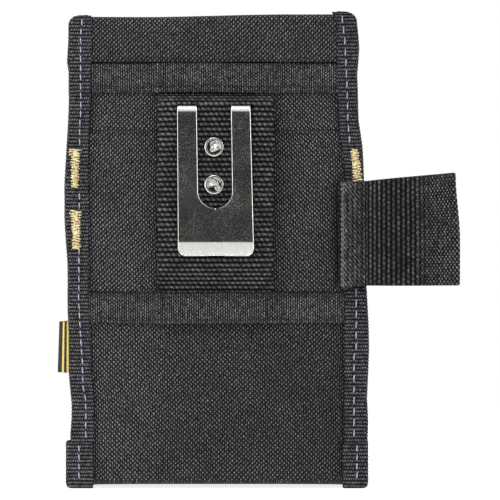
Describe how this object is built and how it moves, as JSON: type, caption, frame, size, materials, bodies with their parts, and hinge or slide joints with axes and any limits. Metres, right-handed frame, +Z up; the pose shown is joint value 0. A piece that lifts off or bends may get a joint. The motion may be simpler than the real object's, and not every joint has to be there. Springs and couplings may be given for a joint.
{
  "type": "tool pouch",
  "caption": "Upright woven nylon tool pouch with bound edges, stepped pockets, a belt tunnel with a slotted spring clip, and a webbing loop on one side.",
  "frame": {"origin": "middle of the flat bottom panel, at its underside, between the left and right edges at that height", "axes": "+Z up towards the mouth; -Y is the belt side with the clip, +Y the pocket side; +X towards the side loop"},
  "size_m": [0.1842, 0.0453, 0.2174],
  "materials": {
    "pouch_cloth": "charcoal plain-weave nylon, matt",
    "stiffener": "matt board",
    "webbing": "coarse black nylon webbing",
    "edge_tape": "ribbed black grosgrain tape",
    "clip_steel": "nickel plated, fine scratches",
    "rivet_steel": "nickel plated, peened",
    "gold_thread": "satin thread",
    "label_cloth": "woven label, black with plain gold stripes"
  },
  "bodies": {
    "pouch": {"back_panel": "pouch_cloth", "back_stiffener": "stiffener", "back_lining": "pouch_cloth", "top_hem": "pouch_cloth", "upper_cross_tape": "edge_tape", "lower_cross_tape": "edge_tape", "belt_webbing": "webbing", "clip_base": "clip_steel", "clip_rivet_upper": "rivet_steel", "clip_rivet_lower": "rivet_steel", "left_binding": "edge_tape", "right_binding": "edge_tape", "left_corner_binding": "edge_tape", "right_corner_binding": "edge_tape", "side_loop_anchor": "webbing", "bartack_left_upper": "gold_thread", "bartack_left_lower": "gold_thread", "bartack_right_upper": "gold_thread", "bartack_right_lower": "gold_thread", "divider_bartack_left": "gold_thread", "divider_bartack_right": "gold_thread", "label_tab": "label_cloth", "main_pocket": "pouch_cloth", "main_pocket_tape": "edge_tape", "front_pocket": "pouch_cloth", "front_pocket_tape": "edge_tape", "bottom_panel": "pouch_cloth"},
    "clip_leaf": {"clip_arm": "clip_steel"},
    "loop": {"side_loop": "webbing"}
  },
  "joints": [
    {"name": "clip_spring", "type": "hinge", "parent": "pouch", "child": "clip_leaf", "pos_m": [0, -0.0228, 0.1748], "axis": [-1, 0, 0], "range_deg": [0, 10], "stiffness_Nm_per_rad": 3},
    {"name": "loop_flex", "type": "hinge", "parent": "pouch", "child": "loop", "pos_m": [0.0678, -0.01935, 0.1174], "axis": [0, 0, 1], "range_deg": [-45, 45], "stiffness_Nm_per_rad": 0.05}
  ]
}
